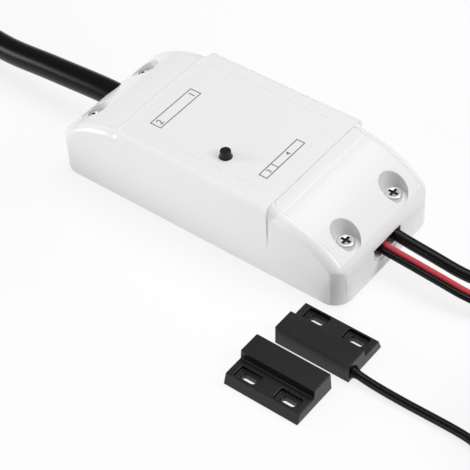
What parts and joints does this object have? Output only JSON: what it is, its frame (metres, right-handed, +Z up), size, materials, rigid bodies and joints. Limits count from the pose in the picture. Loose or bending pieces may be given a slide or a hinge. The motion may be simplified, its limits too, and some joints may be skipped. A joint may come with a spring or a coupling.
{
  "type": "garage door controller",
  "caption": "Slim white relay box with a press button, mains lead and plug, twin output lead, and a wired reed switch with its magnet, for working a garage door opener.",
  "frame": {"origin": "centre of the flat underside of the case", "axes": "+X along the case toward the output end with its slot, +Z up out of the lid, +Y away from the button's side"},
  "size_m": [0.3478, 0.1028, 0.0243],
  "materials": {
    "case_white": "satin moulded ABS",
    "screw_steel": "bright zinc",
    "board_green": "solder mask",
    "relay_blue": "moulded",
    "tape_yellow": "wound tape",
    "can_dark": "shrink sleeve",
    "lamp_clear": "clear",
    "terminal_green": "moulded",
    "socket_white": "moulded",
    "core_brown": "extruded",
    "black_plastic": "fine texture",
    "potting_grey": "cast resin",
    "contact_steel": "plated",
    "cord_black": "smooth PVC",
    "plug_black": "moulded PVC",
    "pin_nickel": "nickel plated",
    "wire_red": "smooth PVC",
    "tie_grey": "flat band"
  },
  "bodies": {
    "controller": {"upper_case": "case_white", "base_plate": "case_white", "input_cover": "case_white", "output_cover": "case_white", "cover_screws": "screw_steel", "circuit_board": "board_green", "relay": "relay_blue", "transformer": "tape_yellow", "input_capacitor": "can_dark", "output_capacitor": "can_dark", "film_capacitor": "tape_yellow", "varistor": "relay_blue", "radio_module": "board_green", "radio_shield": "screw_steel", "status_lamp": "lamp_clear", "input_terminal": "terminal_green", "output_terminal": "terminal_green", "terminal_screws": "screw_steel", "sensor_socket": "socket_white", "mains_cores": "core_brown", "switch_body": "black_plastic", "switch_dome": "screw_steel", "switch_plate": "screw_steel", "reed_housing": "black_plastic", "reed_plate": "potting_grey", "reed_glass": "lamp_clear", "reed_blades": "contact_steel", "mains_lead": "cord_black", "mains_coil": "cord_black", "mains_tie": "tie_grey", "mains_tail": "cord_black", "strain_relief": "cord_black", "plug_body": "plug_black", "plug_pins": "pin_nickel", "sensor_lead": "cord_black", "sensor_coil": "cord_black", "sensor_tie": "tie_grey", "reed_lead": "cord_black", "red_wire": "wire_red", "black_wire": "cord_black", "bare_ends": "pin_nickel"},
    "button": {"button": "black_plastic"},
    "magnet": {"magnet_housing": "black_plastic", "magnet_plate": "potting_grey", "bar_magnet": "contact_steel"}
  },
  "joints": [
    {"name": "button_press", "type": "slide", "parent": "controller", "child": "button", "axis": [0, 0, -1], "range_m": [0, 0.0003], "stiffness_N_per_m": 500, "springref_m": -0.0005},
    {"name": "magnet_travel", "type": "slide", "parent": "controller", "child": "magnet", "axis": [0, -1, 0], "range_m": [0, 0.03]}
  ]
}
